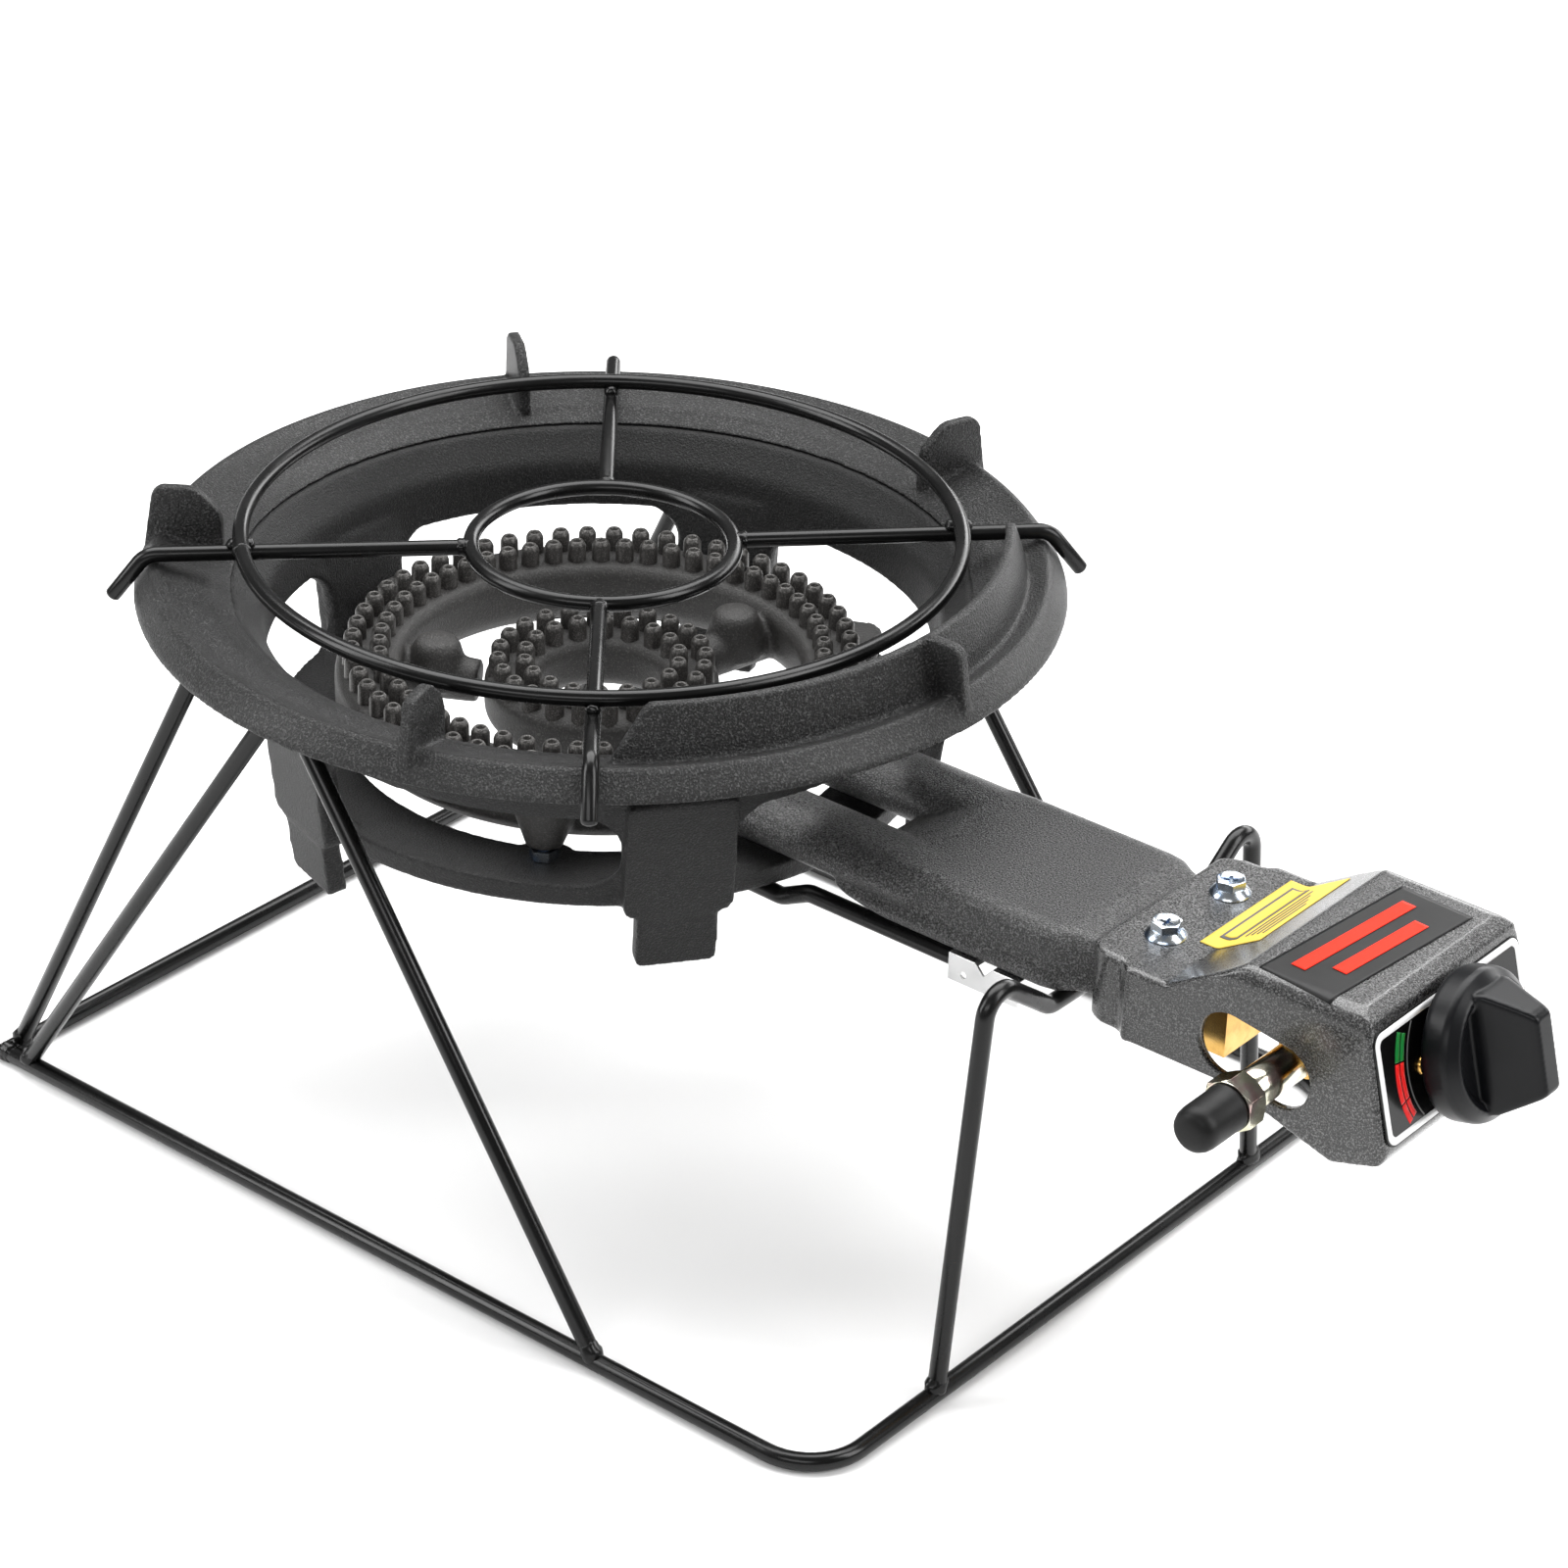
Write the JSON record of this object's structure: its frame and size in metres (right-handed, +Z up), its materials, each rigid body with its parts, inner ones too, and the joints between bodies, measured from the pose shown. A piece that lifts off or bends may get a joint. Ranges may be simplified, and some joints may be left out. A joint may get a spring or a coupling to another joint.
{
  "type": "gas burner stand",
  "caption": "Low gas burner in a cast pot ring on a bent-wire stand, with a lift-off wire grate and a long valve handle.",
  "frame": {"origin": "centre of the object's box, on the floor", "axes": "+Z up; +X from the burner along the handle to the knob; the gas inlet points along -Y"},
  "size_m": [0.613, 0.36, 0.243],
  "materials": {
    "black_wire": "satin",
    "grainy_iron": "textured",
    "smooth_iron": "matte",
    "burner_iron": "matte",
    "handle_paint": "textured",
    "hammer_paint": "textured",
    "zinc": "satin",
    "yellow_zinc": "satin",
    "brass": "satin",
    "panel_print": "gloss",
    "black_label": "satin",
    "yellow_label": "satin",
    "black_plastic": "satin",
    "black_rubber": "matte"
  },
  "bodies": {
    "stand": {"base_hoop": "black_wire", "base_rear_rail": "black_wire", "stand_top_ring": "black_wire", "corner_strut_right": "black_wire", "corner_strut_left": "black_wire", "rear_strut_right": "black_wire", "rear_strut_left": "black_wire", "front_strut_right": "black_wire", "front_strut_left": "black_wire", "handle_cradle": "black_wire"},
    "stove": {"pot_ring": "grainy_iron", "frame_casting": "smooth_iron", "ring_screw_1": "zinc", "ring_screw_2": "zinc", "ring_screw_3": "zinc", "ring_screw_4": "zinc", "ring_screw_5": "zinc", "outer_burner": "burner_iron", "inner_burner": "burner_iron", "burner_bolt_1": "zinc", "burner_bolt_2": "zinc", "burner_bolt_3": "zinc", "burner_nut_1": "zinc", "burner_nut_2": "zinc", "burner_nut_3": "zinc", "pilot_tube": "black_wire", "pilot_tube_bracket": "zinc", "mixing_tube_handle": "handle_paint", "valve_housing": "hammer_paint", "housing_bolt_right": "zinc", "housing_bolt_left": "zinc", "control_panel": "panel_print", "panel_screw_right": "brass", "panel_screw_left": "brass", "black_label": "black_label", "yellow_label": "yellow_label", "valve_body": "brass", "orifice_bar": "brass", "inlet_pipe": "yellow_zinc", "inlet_nut": "yellow_zinc"},
    "grate": {"grate_outer_ring": "black_wire", "grate_inner_ring": "black_wire", "grate_bar_front": "black_wire", "grate_bar_right": "black_wire", "grate_bar_back": "black_wire", "grate_bar_left": "black_wire"},
    "knob": {"control_knob": "black_plastic", "valve_stem": "brass"},
    "cap": {"inlet_cap": "black_rubber"}
  },
  "joints": [
    {"name": "stove_lift", "type": "slide", "parent": "stand", "child": "stove", "axis": [0, 0, 1], "range_m": [0, 0.035]},
    {"name": "grate_lift", "type": "slide", "parent": "stove", "child": "grate", "axis": [0, 0, 1], "range_m": [0, 0.08]},
    {"name": "knob_turn", "type": "hinge", "parent": "stove", "child": "knob", "pos_m": [0.26425, 0, 0.1665], "axis": [0.9659, 0, 0.2588], "range_deg": [0, 150]},
    {"name": "cap_pull", "type": "slide", "parent": "stove", "child": "cap", "axis": [0, -1, 0], "range_m": [0, 0.03]}
  ]
}
